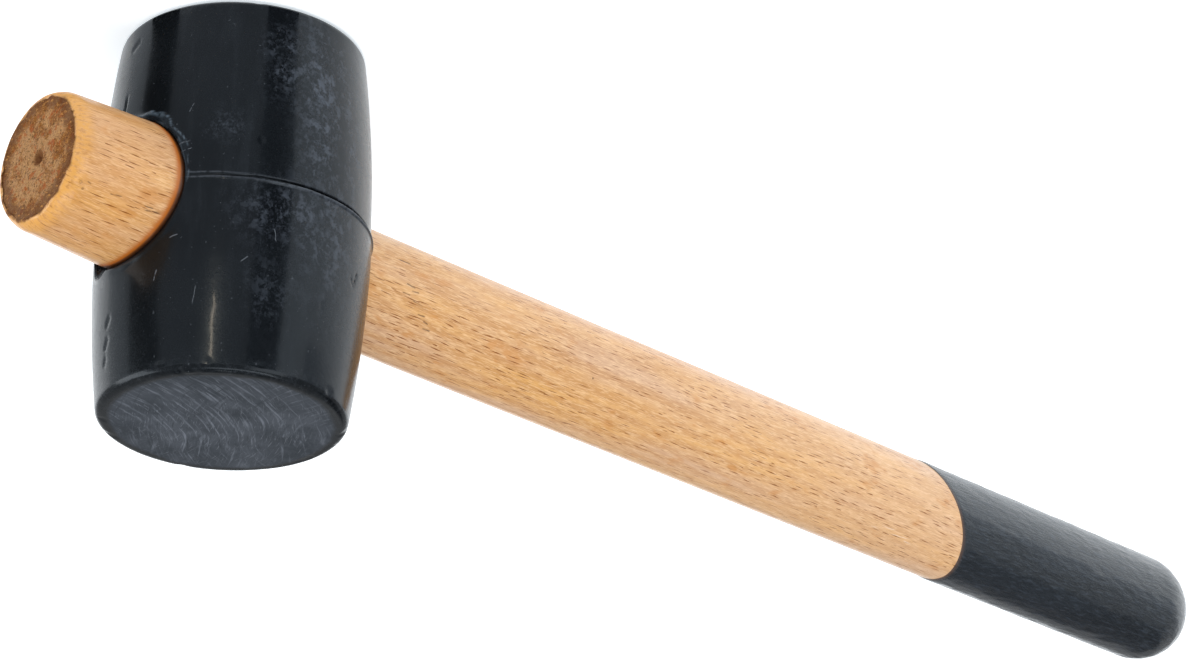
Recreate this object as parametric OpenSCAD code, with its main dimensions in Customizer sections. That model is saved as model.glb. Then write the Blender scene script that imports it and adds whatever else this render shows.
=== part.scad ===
// Rubber mallet: a solid moulded rubber head on an oval beech handle, with a lacquer dip on the grip.
// It stands on one striking face. The origin is the centre of that face, +Z runs up the head's axis
// to the other face, and +X runs along the handle, out of the top of the mallet.

/* [Head] */
// Largest diameter of the head, at half its height
head_dia = 65; // [60:1:75]
// Height of the head, from one striking face to the other
head_height = 96; // [85:1:115]
// Diameter that the barrel loses from the middle of the head to its ends
barrel_taper = 6.8; // [3:0.2:9]
// Radius that rounds the edge of each striking face
face_edge = 2; // [0.8:0.1:4]
// How far the parting ridge stands out of the head
ridge_height = 0.3; // [0.2:0.05:0.6]

/* [Handle] */
// Length of the handle from its top end to its grip end
handle_length = 396.6; // [330:0.2:450]
// Length of handle that stands out of the top of the head
top_length = 24.9; // [12:0.1:32]
// Depth of the oval handle where the grip's dome begins, measured along the head's axis
grip_depth = 29.3; // [26:0.1:32]
// Depth of the handle where it enters the head from the grip side
neck_depth = 29.8; // [26:0.1:32]
// Depth of the swelled handle where it leaves the head at the top
swell_depth = 36.2; // [33:0.1:38]
// Depth of the handle where the top end's rounding begins
top_depth = 34.3; // [32:0.1:37]
// Width of the oval as a share of its depth
oval_ratio = 0.93; // [0.85:0.01:0.98]

/* [Ends of the handle] */
// Length of the rounding at the top end
top_round_length = 4.5; // [2:0.5:8]
// Depth of the rounding at the top end
top_round_depth = 1.9; // [1:0.1:4]
// Length of the dome at the grip end
dome_length = 13; // [9:0.5:14]
// Depth of the dome at the grip end
dome_depth = 6; // [4:0.2:7.6]
// Diameter of the lathe-centre mark in the top end
centre_mark_dia = 4; // [1.5:0.1:5]
// Depth of the lathe-centre mark
centre_mark_depth = 2.2; // [1:0.1:4]

/* [Grip lacquer] */
// Length of handle that the lacquer covers, measured on the handle's axis
lacquer_length = 101.8; // [60:0.2:160]
// Thickness of the lacquer
lacquer_thickness = 0.25; // [0.2:0.05:0.6]
// Lean of the lacquer's edge away from square to the handle, in degrees
lacquer_lean = 29.5; // [0:0.5:40]

/* [Hidden] */
$fn = 96;

rubber_colour = [0.13, 0.15, 0.18];
beech_colour = [0.87, 0.67, 0.44];
lacquer_colour = [0.20, 0.22, 0.25];

head_radius = head_dia / 2;
mid_height = head_height / 2;
top_end = head_radius + top_length;
grip_end = top_end - handle_length;
// The swell is fully grown just before the handle leaves the head
swell_place = 0.95 * head_radius;
// Larger than any part, for cutting half of one away
beyond = 2 * handle_length;

// Radius of the circle that falls away from a straight side by drop over run
function fall_radius(run, drop) = (run * run + drop * drop) / (2 * drop);

// Half of the barrel's outline, on its way round the Z axis: a long arc for the side and a small one,
// tangent to both the side and the face, for each face's edge
module barrel_outline() {
    arc_radius = fall_radius(mid_height, barrel_taper / 2);
    arc_centre = head_radius - arc_radius;
    edge_centre_height = mid_height - face_edge;
    edge_centre_radius = arc_centre + sqrt(pow(arc_radius - face_edge, 2) - pow(edge_centre_height, 2));
    side_height = edge_centre_height * arc_radius / (arc_radius - face_edge);
    intersection() {
        translate([arc_centre, 0]) circle(r = arc_radius, $fn = 720);
        translate([0, -side_height]) square([head_dia, 2 * side_height]);
    }
    translate([0, -mid_height]) square([edge_centre_radius, head_height]);
    for (side = [-1, 1])
        translate([edge_centre_radius, side * edge_centre_height]) circle(r = face_edge);
}

// Low three-sided ridge left where the two halves of the mould meet
module parting_ridge() {
    ridge_root = 2 * ridge_height;
    rotate_extrude()
        polygon([
            [head_radius - ridge_root, -ridge_root],
            [head_radius + ridge_height, 0],
            [head_radius - ridge_root, ridge_root]
        ]);
}

// What a rounding takes off a corner at (radius, 0), where the end of the handle faces up
module corner_waste(radius, run, drop) {
    round_radius = fall_radius(run, drop);
    difference() {
        translate([0, -run]) square([2 * radius, 2 * run]);
        translate([radius - round_radius, -run]) circle(r = round_radius, $fn = 180);
        translate([0, -run]) square([radius - drop, run]);
    }
}

// Half of the handle's lengthwise outline, grown outwards by skin on every side
module handle_outline(skin = 0) {
    difference() {
        polygon([
            [0, grip_end - skin],
            [grip_depth / 2 + skin, grip_end - skin],
            [grip_depth / 2 + skin, grip_end - skin + dome_length],
            [neck_depth / 2 + skin, -head_radius],
            [swell_depth / 2 + skin, swell_place],
            [top_depth / 2 + skin, top_end + skin - top_round_length],
            [top_depth / 2 + skin, top_end + skin],
            [0, top_end + skin]
        ]);
        translate([0, top_end + skin])
            corner_waste(top_depth / 2 + skin, top_round_length, top_round_depth);
        translate([0, grip_end - skin]) mirror([0, 1])
            corner_waste(grip_depth / 2 + skin, dome_length, dome_depth);
    }
}

// The oval handle as a solid, lying along X at half the height of the head: two half turns of its
// outline, each flattened across Y
module handle_blank(skin = 0) {
    translate([0, 0, mid_height])
        for (turn = [0, 180])
            scale([1, oval_ratio, 1]) rotate([0, 90, 0]) rotate([0, 0, turn])
                rotate_extrude(angle = 180) handle_outline(skin);
}

// Solid rubber head, moulded round its eye, which is the shape of the handle that stretches it
module head() {
    color(rubber_colour)
    difference() {
        translate([0, 0, mid_height]) {
            rotate_extrude() barrel_outline();
            parting_ridge();
        }
        handle_blank();
    }
}

// Turned beech handle, with the mark of the lathe's centre in its top end
module handle() {
    color(beech_colour)
    difference() {
        handle_blank();
        translate([top_end - centre_mark_depth, 0, mid_height]) rotate([0, 90, 0])
            cylinder(h = 2 * centre_mark_depth, d1 = 0, d2 = 2 * centre_mark_dia);
    }
}

// Skin of lacquer on the grip, which ends along a plane that leans towards the grip at the top
module grip_lacquer() {
    color(lacquer_colour)
    difference() {
        handle_blank(lacquer_thickness);
        handle_blank();
        translate([grip_end + lacquer_length, 0, mid_height]) rotate([0, -lacquer_lean, 0])
            translate([0, -beyond / 2, -beyond / 2]) cube(beyond);
    }
}

head();
handle();
grip_lacquer();
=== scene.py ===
# Looks of the rubber mallet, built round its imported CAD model: a moulded rubber head with its parting line,
# flash and scuffs, a varnished beech handle with rough end grain, and the lacquer dip on the grip.
import itertools
import math

import bpy
import numpy as np
from mathutils import Matrix, Vector


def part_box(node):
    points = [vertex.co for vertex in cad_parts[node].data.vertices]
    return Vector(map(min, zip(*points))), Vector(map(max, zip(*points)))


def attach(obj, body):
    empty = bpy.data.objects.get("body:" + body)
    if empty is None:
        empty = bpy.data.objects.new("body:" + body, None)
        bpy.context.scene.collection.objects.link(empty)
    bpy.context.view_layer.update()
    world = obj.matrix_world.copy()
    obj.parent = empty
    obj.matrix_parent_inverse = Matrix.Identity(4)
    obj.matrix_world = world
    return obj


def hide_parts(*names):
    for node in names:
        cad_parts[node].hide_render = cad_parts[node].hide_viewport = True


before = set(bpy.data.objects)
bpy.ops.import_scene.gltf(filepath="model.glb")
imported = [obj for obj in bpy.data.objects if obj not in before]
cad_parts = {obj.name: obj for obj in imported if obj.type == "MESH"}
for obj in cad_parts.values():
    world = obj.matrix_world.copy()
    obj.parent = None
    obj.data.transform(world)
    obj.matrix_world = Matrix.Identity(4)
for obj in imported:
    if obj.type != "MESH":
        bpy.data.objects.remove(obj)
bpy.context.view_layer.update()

# ---- sizes, in millimetres
MM = 0.001

head_low, head_high = (np.array(corner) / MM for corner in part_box("head"))
handle_low, handle_high = (np.array(corner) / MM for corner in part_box("handle"))
lacquer_low = np.array(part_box("grip_lacquer")[0]) / MM

# Head: a barrel whose side is one long arc, with a small arc round each striking face
RIDGE_HEIGHT = 0.3
BARREL_TAPER = 6.8
FACE_EDGE = 2.0
MIDDLE = (head_low[2] + head_high[2]) / 2
HALF_HEIGHT = (head_high[2] - head_low[2]) / 2
HEAD_RADIUS = (head_high[1] - head_low[1]) / 2 - RIDGE_HEIGHT
SIDE_ARC = (HALF_HEIGHT ** 2 + (BARREL_TAPER / 2) ** 2) / BARREL_TAPER
SIDE_ARC_CENTRE = HEAD_RADIUS - SIDE_ARC
EDGE_HEIGHT = HALF_HEIGHT - FACE_EDGE
EDGE_RADIUS = SIDE_ARC_CENTRE + math.sqrt((SIDE_ARC - FACE_EDGE) ** 2 - EDGE_HEIGHT ** 2)
SIDE_HEIGHT = EDGE_HEIGHT * SIDE_ARC / (SIDE_ARC - FACE_EDGE)

# Handle: half depths of the oval, measured along the head's axis
GRIP_HALF = 14.65
NECK_HALF = 14.9
TOP_HALF = 17.15
SWELL_HALF = (handle_high[2] - handle_low[2]) / 2
OVAL = (handle_high[1] - handle_low[1]) / (handle_high[2] - handle_low[2])
TOP_END = handle_high[0]
GRIP_END = handle_low[0]
TOP_ROUND_LENGTH = 4.5
TOP_ROUND_DEPTH = 1.9
DOME_LENGTH = 13.0
DOME_DEPTH = 6.0
DOME_CORNER = 2.0

# Lacquer: a thin skin whose edge leans to the handle
LACQUER_SKIN = handle_low[0] - lacquer_low[0]
LACQUER_LENGTH = 101.8
LACQUER_LEAN = math.tan(math.radians(29.5))
LACQUER_EDGE = GRIP_END + LACQUER_LENGTH


# ---- noise and small helpers
def lattice_value(cell, seed):
    """A fixed random number from -1 to 1 for each whole-number cell."""
    key = (cell * np.array([73856093, 19349663, 83492791])).sum(axis=1) + seed * 40503
    key = (key ^ (key >> 13)) * 1274126177 & 0x7FFFFFFF
    key = (key ^ (key >> 15)) * 668265263 & 0x7FFFFFFF
    return (key >> 8 & 0xFFFF) / 32767.5 - 1


def noise(points, size, seed=0):
    """Smooth noise from -1 to 1, whose bumps are about size across; size may differ along X, Y and Z."""
    place = points / np.asarray(size, float)
    cell = np.floor(place).astype(np.int64)
    ease = place - cell
    ease = ease * ease * (3 - 2 * ease)
    total = np.zeros(len(points))
    for corner in itertools.product((0, 1), repeat=3):
        weight = np.where(corner, ease, 1 - ease).prod(axis=1)
        total += weight * lattice_value(cell + np.array(corner), seed)
    return total


def smooth_step(value, low, high):
    """0 below low, 1 above high, and a smooth rise between."""
    t = np.clip((value - low) / (high - low), 0, 1)
    return t * t * (3 - 2 * t)


def bell(value, width):
    """1 where value is 0, falling to nothing over about twice the width on each side."""
    return np.exp(-(value / width) ** 2)


def graded(high, fine, coarse, reach):
    """Numbers from -high to high, fine apart near 0 and coarse apart beyond reach from it."""
    places = [0.0]
    while places[-1] < high:
        places.append(places[-1] + fine + (coarse - fine) * smooth_step(places[-1], 0, reach))
    above = np.array(places) * high / places[-1]
    return np.concatenate([-above[:0:-1], above])


def ring_faces(outer, inner):
    """Four-sided faces between two closed rings of the same number of points."""
    return np.stack([outer, np.roll(outer, -1), np.roll(inner, -1), inner], axis=1)


def compact(points, faces):
    """The same faces with the points that none of them uses left out."""
    used = np.unique(np.concatenate([np.asarray(f).ravel() for f in faces]))
    place = np.full(len(points), -1)
    place[used] = np.arange(len(used))
    return points[used], [place[np.asarray(f)] for f in faces]


def make_piece(name, points, faces):
    """A smooth-shaded mesh object from points in millimetres and arrays of faces."""
    mesh = bpy.data.meshes.new(name)
    mesh.from_pydata((points * MM).tolist(), [], [f for group in faces for f in group.tolist()])
    mesh.validate()
    mesh.shade_smooth()
    piece = bpy.data.objects.new(name, mesh)
    bpy.context.scene.collection.objects.link(piece)
    return piece


def points_of(piece):
    """The mesh's points in millimetres, and the outward direction at each."""
    mesh = piece.data
    points = np.zeros(len(mesh.vertices) * 3)
    mesh.vertices.foreach_get("co", points)
    normals = np.zeros(len(mesh.vertices) * 3)
    mesh.vertex_normals.foreach_get("vector", normals)
    return points.reshape(-1, 3) / MM, normals.reshape(-1, 3)


def set_points(piece, points):
    piece.data.vertices.foreach_set("co", (points * MM).ravel())
    piece.data.update()


def paint(piece, name, values):
    """Stores a number from 0 to 1 at each point, for a material to read."""
    attribute = piece.data.attributes.new(name, "FLOAT", "POINT")
    attribute.data.foreach_set("value", np.clip(values, 0, 1).astype(np.float32))


# ---- outlines
def side_radius(height):
    """Radius of the barrel at a height above its middle."""
    return SIDE_ARC_CENTRE + np.sqrt(SIDE_ARC ** 2 - np.square(height))


def fall(distance, run, drop):
    """How far a rounded end has fallen at a distance along its run."""
    radius = (run * run + drop * drop) / (2 * drop)
    return radius - np.sqrt(radius ** 2 - np.clip(distance, 0, run) ** 2)


def handle_half(x):
    """Half depth of the oval handle at x, with its rounded ends."""
    stations = [GRIP_END + DOME_LENGTH, -HEAD_RADIUS, 0.95 * HEAD_RADIUS, TOP_END - TOP_ROUND_LENGTH]
    side = np.interp(x, stations, [GRIP_HALF, NECK_HALF, SWELL_HALF, TOP_HALF])
    side = side - fall(x - (TOP_END - TOP_ROUND_LENGTH), TOP_ROUND_LENGTH, TOP_ROUND_DEPTH)
    return side - fall((GRIP_END + DOME_LENGTH) - x, DOME_LENGTH, DOME_DEPTH)


def grip_dome(thickness):
    """x and half depth along the grip's rounded end, outwards from its flat middle, under a thin skin."""
    dome = (DOME_LENGTH ** 2 + DOME_DEPTH ** 2) / (2 * DOME_DEPTH)
    dome_x, dome_half = GRIP_END + DOME_LENGTH, GRIP_HALF - dome
    rise = math.sqrt((dome - DOME_CORNER) ** 2 - (DOME_LENGTH - DOME_CORNER) ** 2)
    meeting = math.atan2(rise, DOME_LENGTH - DOME_CORNER)
    corner_turns = np.linspace(0, meeting, 10)[:-1]
    dome_turns = np.linspace(meeting, math.pi / 2, 24)
    corner, dome = DOME_CORNER + thickness, dome + thickness
    x = [GRIP_END + DOME_CORNER - corner * np.cos(corner_turns), dome_x - dome * np.cos(dome_turns)]
    half = [dome_half + rise + corner * np.sin(corner_turns), dome_half + dome * np.sin(dome_turns)]
    return np.concatenate(x), np.concatenate(half)


# ---- head
AROUND_HEAD = 352
# Half of the block of the head's grid that each eye patch replaces: its columns, and its height
EYE_COLUMNS = AROUND_HEAD // 8
EYE_HEIGHT = 30.0
EYE_RINGS = 26
# Gap between rubber and wood at the eye's mouth, at the notch torn out of its edge, and inside the eye
EYE_GAP = 0.3
EYE_GAP_TORN = 4.0
EYE_TORN_AT = 50
TUNNEL_CLEARANCE = 0.04


def head_outline():
    """Radius and height of each row of points, from the upper face's rim to the lower one's."""
    tangent = math.atan2(EDGE_HEIGHT, EDGE_RADIUS - SIDE_ARC_CENTRE)
    turns = np.linspace(math.pi / 2, tangent, 12)[:-1]
    arc = np.stack([np.cos(turns), np.sin(turns)], axis=1)
    edge = np.array([EDGE_RADIUS, EDGE_HEIGHT]) + FACE_EDGE * arc
    heights = graded(SIDE_HEIGHT, 0.11, 0.62, 7.0)[::-1]
    side = np.stack([side_radius(heights), heights], axis=1)
    return np.concatenate([edge, side, edge[::-1] * [1, -1]])


def eye_mouth(turn, side):
    """Points of the eye's mouth at each turn of the oval, on the head's +X side (side 1) or its -X side."""
    torn = bell(np.degrees(turn) - EYE_TORN_AT, 15) if side > 0 else 0
    gap = EYE_GAP + (EYE_GAP_TORN - EYE_GAP) * torn
    x = np.full(len(turn), side * HEAD_RADIUS)
    for _ in range(4):
        half = handle_half(x)
        y = side * (OVAL * half + gap) * np.cos(turn)
        height = (half + gap) * np.sin(turn)
        x = side * np.sqrt(side_radius(height) ** 2 - y ** 2)
    return x, y, height


def eye_patch(outline, middle_row, rows, side, first_new):
    """Rings of points from a block of the head's grid to the eye's mouth, and the faces between them."""
    centre = 0 if side > 0 else AROUND_HEAD // 2
    right = [(r, EYE_COLUMNS) for r in range(0, -rows, -1)]
    top = [(-rows, c) for c in range(EYE_COLUMNS, -EYE_COLUMNS, -1)]
    left = [(r, -EYE_COLUMNS) for r in range(-rows, rows)]
    bottom = [(rows, c) for c in range(-EYE_COLUMNS, EYE_COLUMNS)]
    rest = [(r, EYE_COLUMNS) for r in range(rows, 0, -1)]
    loop = np.array(right + top + left + bottom + rest)
    border = (middle_row + loop[:, 0]) * AROUND_HEAD + (centre + loop[:, 1]) % AROUND_HEAD
    angle = loop[:, 1] * 2 * math.pi / AROUND_HEAD
    height = outline[middle_row + loop[:, 0], 1]
    turn = np.arctan2(height / height.max(), angle / angle.max())
    mouth_x, mouth_y, mouth_height = eye_mouth(turn, side)
    mouth_angle = np.arctan2(side * mouth_y, side * mouth_x)
    steps = 0.16 + 0.84 * smooth_step(np.linspace(0, 1, EYE_RINGS), 0, 0.9)
    share = np.concatenate([[0], np.cumsum(steps)]) / steps.sum()
    points, rings = [], [border]
    for s in share[::-1][1:]:
        ring_angle = mouth_angle + (angle - mouth_angle) * s
        ring_height = mouth_height + (height - mouth_height) * s
        radius = side_radius(ring_height)
        ring = [side * radius * np.cos(ring_angle), side * radius * np.sin(ring_angle), ring_height]
        rings.append(first_new + sum(len(p) for p in points) + np.arange(len(loop)))
        points.append(np.stack(ring, axis=1))
    faces = [ring_faces(outer, inner) for outer, inner in zip(rings, rings[1:])]
    return np.concatenate(points), faces, rings[-1], turn


def face_disc(rim, upper, first_new):
    """An even grid of points over a striking face whose border is the points of rim."""
    cells = AROUND_HEAD // 4
    u, v = np.meshgrid(np.linspace(-1, 1, cells + 1), np.linspace(-1, 1, cells + 1), indexing="ij")
    wide = np.abs(u) > np.abs(v)
    reach = np.where(wide, u, v)
    with np.errstate(divide="ignore", invalid="ignore"):
        turn = np.where(wide, math.pi / 4 * v / u, math.pi / 2 - math.pi / 4 * u / v)
    turn = np.nan_to_num(turn)
    x, y = EDGE_RADIUS * reach * np.cos(turn), EDGE_RADIUS * reach * np.sin(turn)
    points = np.stack([x, y, np.full_like(u, HALF_HEIGHT if upper else -HALF_HEIGHT)], axis=-1)
    index = first_new + np.arange(u.size).reshape(u.shape)
    border = (np.abs(u) > 1 - 1e-9) | (np.abs(v) > 1 - 1e-9)
    column = np.round(np.arctan2(y, x) / (2 * math.pi / AROUND_HEAD)).astype(int) % AROUND_HEAD
    index[border] = rim[column[border]]
    corners = [index[:-1, :-1], index[1:, :-1], index[1:, 1:], index[:-1, 1:]]
    faces = np.stack(corners if upper else corners[::-1], axis=-1).reshape(-1, 4)
    return points.reshape(-1, 3), faces


def tunnel(front, back, turn, first_new):
    """The wall of the eye, from the mouth at the top of the mallet to the mouth on the grip side."""
    mouths = np.stack(eye_mouth(turn, 1), axis=1), np.stack(eye_mouth(math.pi - turn, -1), axis=1)
    shares = np.concatenate([[0.012, 0.025, 0.04], np.linspace(0.07, 0.93, 14), [0.96, 0.975, 0.988]])
    points, rings = [], [front]
    for share in shares:
        x = mouths[0][:, 0] + (mouths[1][:, 0] - mouths[0][:, 0]) * share
        half = handle_half(x) + TUNNEL_CLEARANCE
        snug = np.stack([x, (half * OVAL) * np.cos(turn), half * np.sin(turn)], axis=1)
        mouth = mouths[0] if share < 0.5 else mouths[1]
        flare = 1 - smooth_step(min(share, 1 - share), 0, 0.05)
        snug[:, 1:] += (mouth - snug)[:, 1:] * flare
        rings.append(first_new + sum(len(p) for p in points) + np.arange(len(turn)))
        points.append(snug)
    mirrored = (len(turn) // 2 - np.arange(len(turn))) % len(turn)
    rings.append(back[mirrored])
    return np.concatenate(points), [ring_faces(outer, inner) for outer, inner in zip(rings, rings[1:])]


def head_shell():
    """Points, measured from the middle of the head, and faces of the whole closed head."""
    outline = head_outline()
    middle_row = int(np.abs(outline[:, 1]).argmin())
    rows = int((outline[:middle_row, 1] < EYE_HEIGHT).sum())
    angle = np.arange(AROUND_HEAD) * 2 * math.pi / AROUND_HEAD
    points = np.stack([
        outline[:, :1] * np.cos(angle),
        outline[:, :1] * np.sin(angle),
        outline[:, 1:] + 0 * angle,
    ], axis=-1).reshape(-1, 3)
    row, column = np.meshgrid(np.arange(len(outline) - 1), np.arange(AROUND_HEAD), indexing="ij")
    in_rows = (row >= middle_row - rows) & (row < middle_row + rows)
    in_columns = (column + EYE_COLUMNS) % (AROUND_HEAD // 2) < 2 * EYE_COLUMNS
    row, column = row[~(in_rows & in_columns)], column[~(in_rows & in_columns)]
    following = (column + 1) % AROUND_HEAD
    corners = [(row, column), (row + 1, column), (row + 1, following), (row, following)]
    faces = [np.stack([r * AROUND_HEAD + c for r, c in corners], axis=1)]
    mouths = {}
    for side in (1, -1):
        new, patch, mouths[side], turn = eye_patch(outline, middle_row, rows, side, len(points))
        points = np.concatenate([points, new])
        faces += patch
    new, walls = tunnel(mouths[1], mouths[-1], turn, len(points))
    points = np.concatenate([points, new])
    faces += walls
    last_row = (len(outline) - 1) * AROUND_HEAD
    for upper, first in ((True, 0), (False, last_row)):
        new, disc = face_disc(first + np.arange(AROUND_HEAD), upper, len(points))
        points = np.concatenate([points, new])
        faces.append(disc)
    return compact(points, faces)


# Cuts and dents on the side: angle round the head in degrees, height above the middle, length and width,
# tilt from the head's axis in degrees, and depth
CUTS = (
    (5.4, -24.6, 4.0, 0.22, 4, 0.6),
    (-116, 16.0, 3.4, 0.25, 20, 0.3),
    (-113.5, 17.5, 2.2, 0.25, -45, 0.25),
    (140, -22.0, 3.0, 0.25, -40, 0.3),
    (70, -30.0, 2.5, 0.25, 10, 0.3),
)
DENTS = (
    (5.5, -41.0, 3.0, 0.6, 60, 0.35),
    (9, 31.0, 2.2, 0.5, 40, 0.35),
    (11, 36.0, 2.6, 0.5, 35, 0.35),
    (13, 40.0, 2.0, 0.5, 30, 0.3),
    (-95, 28.0, 3.0, 0.3, 15, 0.2),
    (-62, -9.7, 0.5, 0.5, 0, 0.2),
    (-71, 34.0, 0.5, 0.4, 0, 0.2),
    (100, 20.0, 4.0, 0.4, 30, 0.3),
    (120, 33.0, 2.5, 0.5, 65, 0.3),
)
# Thin pale scratches, in the same terms
SCRATCHES = (
    (-27, -8.2, 6.5, 0.24, 74, 0.03),
    (-22, -10.4, 4.0, 0.20, 76, 0.03),
    (-31, -6.6, 3.0, 0.16, 70, 0.03),
    (-28, 15.0, 2.2, 0.20, 75, 0.03),
    (-32, -18.0, 2.4, 0.16, 25, 0.03),
    (-20, 24.0, 2.5, 0.18, 10, 0.03),
    (-58, 21.0, 2.0, 0.16, 50, 0.03),
    (-38, 30.0, 4.5, 0.12, 8, 0.02),
    (-70, 14.0, 3.0, 0.14, -20, 0.03),
    (85, 5.0, 4.0, 0.20, 60, 0.03),
    (150, 15.0, 3.0, 0.20, 20, 0.03),
    (40, -35.0, 5.0, 0.18, 80, 0.03),
)
# Patches where the rubber has gone cloudy: angle, height, how far round and how high, and strength
CLOUDS = (
    (-88, -24.0, 5.5, 20.0, 1.0),
    (-70, -32.0, 4.5, 8.0, 0.9),
    (-104, -20.0, 7.0, 24.0, 0.6),
    (-48, -13.0, 4.0, 3.5, 0.6),
    (-72, 8.0, 9.0, 7.0, 0.75),
    (-98, 14.0, 9.0, 14.0, 0.5),
    (-68, 28.0, 5.0, 7.0, 0.35),
    (60, 15.0, 20.0, 14.0, 0.5),
    (125, -20.0, 22.0, 18.0, 0.6),
)
# Where round the head the mould halves missed each other most, and by how much
SHIFT_ANGLE = math.radians(-137)
SHIFT = 0.28
# About the mean of the oval's two scales
OVAL_MEAN = 0.96


def eye_distance(points):
    """How far each point is from the handle's surface, in its cross-section."""
    half = handle_half(points[:, 0])
    return (np.hypot(points[:, 1] / OVAL, points[:, 2]) - half) * OVAL_MEAN


def turn_from(angle, degrees):
    """The shorter turn to each angle from a place in degrees, in radians."""
    return (angle - math.radians(degrees) + math.pi) % (2 * math.pi) - math.pi


def mark_depth(marks, angle, height, radius):
    """Depth of some marks at each point of a side, from its turn round the axis and its place along it."""
    depth = np.zeros(len(angle))
    for mark_angle, mark_height, length, width, tilt, deep in marks:
        across = turn_from(angle, mark_angle) * radius
        along = height - mark_height
        c, s = math.cos(math.radians(tilt)), math.sin(math.radians(tilt))
        u, v = along * c + across * s, across * c - along * s
        depth = np.maximum(depth, deep * bell(np.maximum(np.abs(u) - length / 2, 0), 0.35) * bell(v, width))
    return depth


def relief_head(head):
    """Shapes the parting line, the flash round the eye and the dents, and paints the rubber's masks."""
    points, normals = points_of(head)
    place = points - [0, 0, MIDDLE]
    angle, height = np.arctan2(place[:, 1], place[:, 0]), place[:, 2]
    radius = np.hypot(place[:, 0], place[:, 1])
    on_face = (np.abs(height) > HALF_HEIGHT - 0.05) & (radius < EDGE_RADIUS + 0.01)
    in_eye = ~on_face & (radius < side_radius(np.clip(height, -SIDE_HEIGHT, SIDE_HEIGHT)) - 0.4)
    in_eye &= np.abs(height) < EYE_HEIGHT
    side = 1.0 * ~(on_face | in_eye)

    # parting line: two thin lips by the stub, turning into one step where the mould halves missed
    wander = 0.22 * noise(place * [1, 1, 0], 14, 3) + 0.1 * noise(place * [1, 1, 0], 4, 4)
    from_line = height - wander
    step = 0.5 + 0.5 * np.cos(angle - SHIFT_ANGLE)
    gash = smooth_step(step, 0.3, 0.9)
    lips = 0.08 * bell(from_line - 0.6, 0.2) + 0.08 * bell(from_line + 0.6, 0.2)
    lips = lips * (1 - gash) + 0.4 * gash * bell(from_line - 0.55, 0.35)
    groove = 0.8 * gash * bell(from_line + 0.15, 0.32)
    missed = SHIFT * np.cos(angle - SHIFT_ANGLE) * smooth_step(from_line, -0.15, 0.2) * bell(height, 18)
    relief = lips - groove + missed

    # the rubber's slow unevenness, a soft roll round the eye, and the crinkled film torn off its edge
    waves = 0.09 * noise(place, 23, 5) + 0.035 * noise(place, 8, 6) + 0.012 * noise(place, 2.5, 7)
    distance = eye_distance(place)
    oval_turn = np.degrees(np.arctan2(height, place[:, 1] / OVAL)) % 360
    front = place[:, 0] > 0
    roll = 0.22 * bell(distance - 0.9, 0.9) * (1 + 0.5 * noise(place, 3, 8))
    reach = 0.3 + 2.6 * bell(oval_turn - 243, 17) + 1.2 * bell(oval_turn - 205, 26)
    reach = reach * (1 + 0.35 * noise(place, 4.0, 9) + 0.12 * noise(place, 1.4, 19)) * front
    shown = smooth_step(reach, 0.5, 1.2)
    film = smooth_step(reach - distance, 0, 0.5) * smooth_step(distance, 0.05, 0.4) * shown
    along_mouth = np.stack([distance / 0.5, oval_turn / 11, 0 * distance], axis=1)
    folds = smooth_step(noise(along_mouth, 1.0, 10), 0.1, 0.7)
    rim = bell(distance - reach, 0.17) * shown * smooth_step(noise(place, 2.2, 20), -0.5, 0.2)
    flash = film * (0.05 + 0.16 * folds) + 0.13 * rim
    marks = mark_depth(CUTS, angle, height, HEAD_RADIUS) + mark_depth(DENTS, angle, height, HEAD_RADIUS)
    relief = side * (relief + waves + roll + flash - marks)

    # faces: a shallow worn dish, and the rim a little knocked about
    worn = -0.12 * (1 - (radius / EDGE_RADIUS) ** 2)
    worn = worn + 0.05 * noise(place, 9, 12) + 0.02 * noise(place, 1.6, 13)
    rim_wear = bell(np.hypot(radius - EDGE_RADIUS - 1, np.abs(height) - HALF_HEIGHT + 1), 2)
    chips = rim_wear * 0.25 * smooth_step(noise(place, (3, 3, 2), 14), 0.35, 0.9)
    relief = relief + on_face * worn * smooth_step(EDGE_RADIUS - radius, 0, 2) - ~in_eye * chips
    placed = points + normals * relief[:, None]
    placed[:, 2] = np.maximum(placed[:, 2], np.where(on_face, head_low[2], -1))
    set_points(head, placed)

    cloud = np.zeros(len(points))
    for cloud_angle, cloud_height, wide, high, strength in CLOUDS:
        across = turn_from(angle, cloud_angle) * HEAD_RADIUS
        cloud += strength * bell(across, wide) * bell(height - cloud_height, high)
    paint(head, "cloud", cloud * side)
    from_rim = EDGE_RADIUS - radius + 0.5 * noise(place, 5, 17) + 0.3 * noise(place, 1.5, 18)
    paint(head, "striking_face", on_face * smooth_step(from_rim, 0.7, 2.0))
    paint(head, "rim_wear", rim_wear * (0.5 + 0.5 * noise(place, 3, 15)))
    paint(head, "film", side * film)
    # pale bluish strokes along the film's folds and its torn edge: painted highlights
    paint(head, "folds", side * np.maximum(film * folds * 0.6, rim))
    # paler parting-line lips by the stub; along the step's lip the paleness is a painted highlight
    line = np.maximum(bell(from_line - 0.6, 0.2), bell(from_line + 0.6, 0.2)) * (1 - gash)
    paint(head, "line", side * np.maximum(line, gash * bell(from_line - 0.65, 0.32)))
    # painted shade: the groove under the step is painted near black, where the step's overhang shades it
    paint(head, "groove", side * gash * bell(from_line + 0.15, 0.32))
    torn = bell(oval_turn - EYE_TORN_AT, 17) * bell(distance - EYE_GAP_TORN, 1.4) * front * (distance > 0)
    paint(head, "torn", torn * smooth_step(noise(place, 0.7, 16), -0.1, 0.3))
    paint(head, "eye_shade", side * bell(np.maximum(distance, 0), 1.3))


def build_head():
    points, faces = head_shell()
    head = make_piece("mallet_head", points + [0, 0, MIDDLE], faces)
    relief_head(head)
    return head


# ---- handle and lacquer
AROUND_HANDLE = 192
CENTRE_MARK_RADIUS = 2.0
CENTRE_MARK_DEPTH = 2.2
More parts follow.
